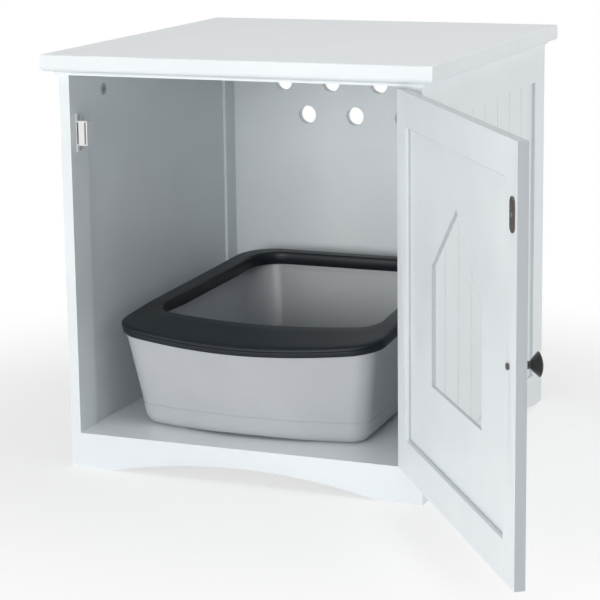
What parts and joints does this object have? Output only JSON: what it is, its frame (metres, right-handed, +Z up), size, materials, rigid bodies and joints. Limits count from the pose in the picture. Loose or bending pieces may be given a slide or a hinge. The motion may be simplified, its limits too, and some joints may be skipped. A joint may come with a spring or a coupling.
{
  "type": "cat litter box cabinet",
  "caption": "Free-standing pet cabinet with a moulded top, grooved sides, an arched base, a vented back, a framed door with a house-shaped entrance and a lift-out litter tray.",
  "frame": {"origin": "on the floor, under the centre of the top board", "axes": "+Z up, +Y to the back of the cabinet, +X to its hinge side, on the right as seen from the front"},
  "size_m": [0.7094, 0.8574, 0.51],
  "materials": {
    "white_board": "satin white paint on fibreboard",
    "steel": "zinc-plated",
    "dark_steel": "dull, darkened",
    "white_plastic": "moulded, satin",
    "ferrite": "sintered, dull",
    "beech": "bare",
    "black_gloss": "gloss black",
    "pan_plastic": "moulded, semi-gloss light grey",
    "rim_plastic": "moulded, satin anthracite"
  },
  "bodies": {
    "cabinet": {"top_panel": "white_board", "left_front_stile": "white_board", "left_rear_stile": "white_board", "left_top_rail": "white_board", "left_bottom_rail": "white_board", "left_bead_panel": "white_board", "right_front_stile": "white_board", "right_rear_stile": "white_board", "right_top_rail": "white_board", "right_bottom_rail": "white_board", "right_bead_panel": "white_board", "front_apron": "white_board", "floor_panel": "white_board", "back_panel": "white_board", "cam_locks": "steel", "cam_bolts": "steel", "dowels": "beech", "hinge_fixed_leaves": "steel", "hinge_fixed_screws": "steel", "hinge_pins": "steel", "catch_housing": "white_plastic", "catch_magnet": "ferrite", "catch_poles": "steel", "catch_screws": "steel"},
    "door": {"door_hinge_stile": "white_board", "door_latch_stile": "white_board", "door_top_rail": "white_board", "door_bottom_rail": "white_board", "door_panel": "white_board", "door_knob": "black_gloss", "knob_screw": "steel", "strike_plate": "dark_steel", "strike_screw": "steel", "hinge_door_leaves": "steel", "hinge_door_screws": "steel"},
    "tray": {"litter_pan": "pan_plastic"},
    "tray_rim": {"litter_rim": "rim_plastic"}
  },
  "joints": [
    {"name": "door_hinge", "type": "hinge", "parent": "cabinet", "child": "door", "pos_m": [0.2139, -0.243, 0.2657], "axis": [0, 0, 1], "range_deg": [-124.7, 45]},
    {"name": "tray_lift", "type": "slide", "parent": "cabinet", "child": "tray", "axis": [0, 0, 1], "range_m": [0, 0.06]},
    {"name": "rim_lift", "type": "slide", "parent": "tray", "child": "tray_rim", "axis": [0, 0, 1], "range_m": [0, 0.03]}
  ]
}
